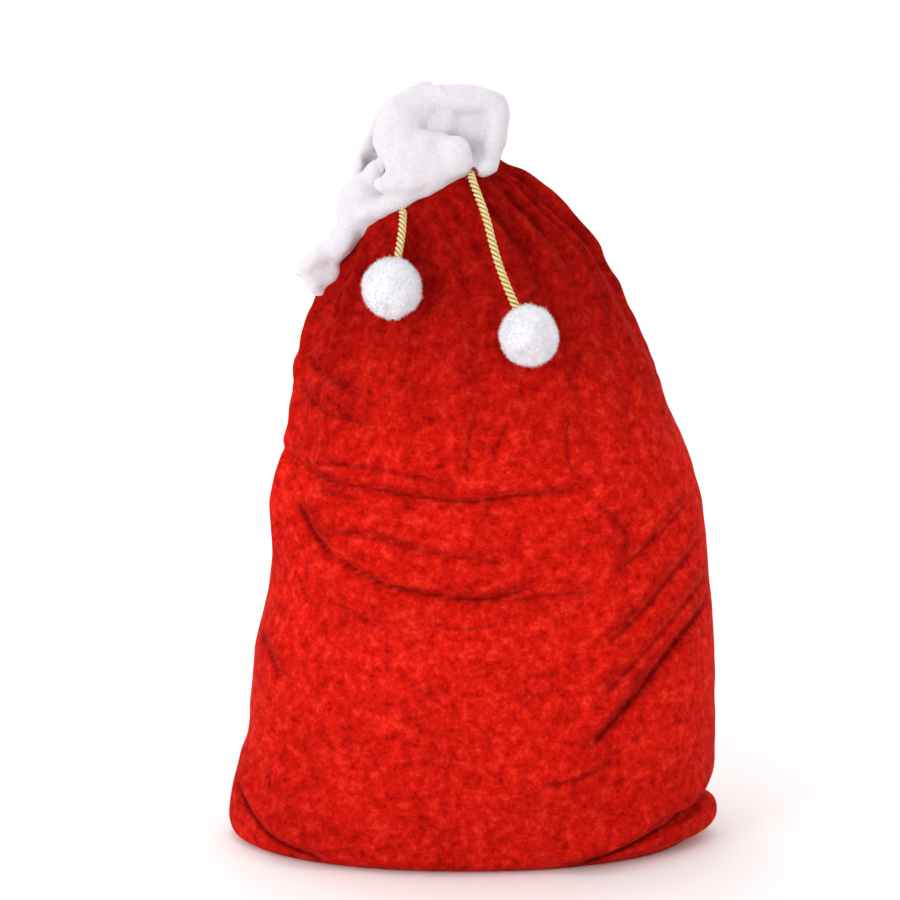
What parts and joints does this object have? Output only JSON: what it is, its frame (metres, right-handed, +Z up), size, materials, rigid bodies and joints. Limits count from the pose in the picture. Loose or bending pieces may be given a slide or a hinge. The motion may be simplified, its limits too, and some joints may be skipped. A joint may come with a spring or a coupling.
{
  "type": "fabric gift sack",
  "caption": "Stuffed red velvet gift sack standing upright, with a leaning gathered neck, white plush collar and gold drawstring with white pom-poms.",
  "frame": {"origin": "centre of the base, on the ground", "axes": "+Z up, front with the two pom-poms towards -Y, +X to the right seen from the front"},
  "size_m": [0.502, 0.2909, 0.8025],
  "materials": {
    "velvet": "crushed velvet with a soft sheen",
    "plush": "short white plush pile",
    "collar_lining": "turned-in plush",
    "channel_tape": "woven tape",
    "seam_thread": "overlocked thread",
    "cord": "satin twisted cord",
    "pompom_pile": "soft short pile",
    "pompom_core": "bound yarn"
  },
  "bodies": {
    "sack": {"front_panel": "velvet", "back_panel": "velvet", "side_seam_left": "seam_thread", "side_seam_right": "seam_thread", "bottom_seam": "seam_thread"},
    "mouth_front": {"neck_front": "velvet", "channel_tape_front": "channel_tape", "collar_front": "plush", "collar_lining_front": "collar_lining", "cord_loop_front": "cord", "buttonhole_left": "seam_thread", "buttonhole_right": "seam_thread"},
    "mouth_back": {"neck_back": "velvet", "channel_tape_back": "channel_tape", "collar_back": "plush", "collar_lining_back": "collar_lining", "cord_loop_back": "cord"},
    "left_root": {"left_cord_root": "cord"},
    "left_tail": {"left_cord_tail": "cord"},
    "left_knot": {"left_cord_knot": "cord"},
    "left_pompom": {"left_pompom_cover": "pompom_pile", "left_pompom_filling": "pompom_core"},
    "right_root": {"right_cord_root": "cord"},
    "right_tail": {"right_cord_tail": "cord"},
    "right_knot": {"right_cord_knot": "cord"},
    "right_pompom": {"right_pompom_cover": "pompom_pile", "right_pompom_filling": "pompom_core"}
  },
  "joints": [
    {"name": "mouth_front_slide", "type": "slide", "parent": "sack", "child": "mouth_front", "axis": [0, -1, 0], "range_m": [0, 0.03]},
    {"name": "mouth_back_slide", "type": "slide", "parent": "sack", "child": "mouth_back", "axis": [0, 1, 0], "range_m": [0, 0.03]},
    {"name": "left_cord_swing", "type": "hinge", "parent": "mouth_front", "child": "left_root", "pos_m": [-0.068, -0.03859, 0.65505], "axis": [-0.3434, -0.6679, 0.6603], "range_deg": [-40, 40], "deforming": ["left_cord_tail", "left_cord_root"]},
    {"name": "left_cord_lift", "type": "hinge", "parent": "left_root", "child": "left_tail", "pos_m": [-0.068, -0.03859, 0.65505], "axis": [-0.9358, 0.3033, -0.1799], "range_deg": [0, 80], "deforming": ["left_cord_tail", "left_cord_root"]},
    {"name": "left_cord_draw", "type": "slide", "parent": "left_tail", "child": "left_knot", "axis": [0.0868, 0.6927, 0.716], "range_m": [0, 0.035], "deforming": ["left_cord_tail"]},
    {"name": "left_pompom_tilt", "type": "hinge", "parent": "left_knot", "child": "left_pompom", "pos_m": [-0.07451, -0.0906, 0.6013], "axis": [-0.9185, 0.3855, -0.0877], "range_deg": [0, 40]},
    {"name": "right_cord_swing", "type": "hinge", "parent": "mouth_front", "child": "right_root", "pos_m": [-0.00242, -0.0402, 0.68934], "axis": [0.1009, -0.8469, 0.522], "range_deg": [-20, 40], "deforming": ["right_cord_tail", "right_cord_root"]},
    {"name": "right_cord_lift", "type": "hinge", "parent": "right_root", "child": "right_tail", "pos_m": [-0.00242, -0.0402, 0.68934], "axis": [-0.9489, -0.2396, -0.2054], "range_deg": [0, 80], "deforming": ["right_cord_tail", "right_cord_root"]},
    {"name": "right_cord_draw", "type": "slide", "parent": "right_tail", "child": "right_knot", "axis": [-0.3003, 0.4855, 0.821], "range_m": [0, 0.085], "deforming": ["right_cord_tail"]},
    {"name": "right_pompom_tilt", "type": "hinge", "parent": "right_knot", "child": "right_pompom", "pos_m": [0.04498, -0.11682, 0.55976], "axis": [-0.9055, -0.2955, -0.3045], "range_deg": [0, 40]}
  ],
  "couplings": [
    {"joint": "mouth_back_slide", "follows": "mouth_front_slide", "ratio": 1},
    {"joint": "left_cord_draw", "follows": "mouth_front_slide", "ratio": 1.1667},
    {"joint": "right_cord_draw", "follows": "mouth_front_slide", "ratio": 2.8333}
  ]
}
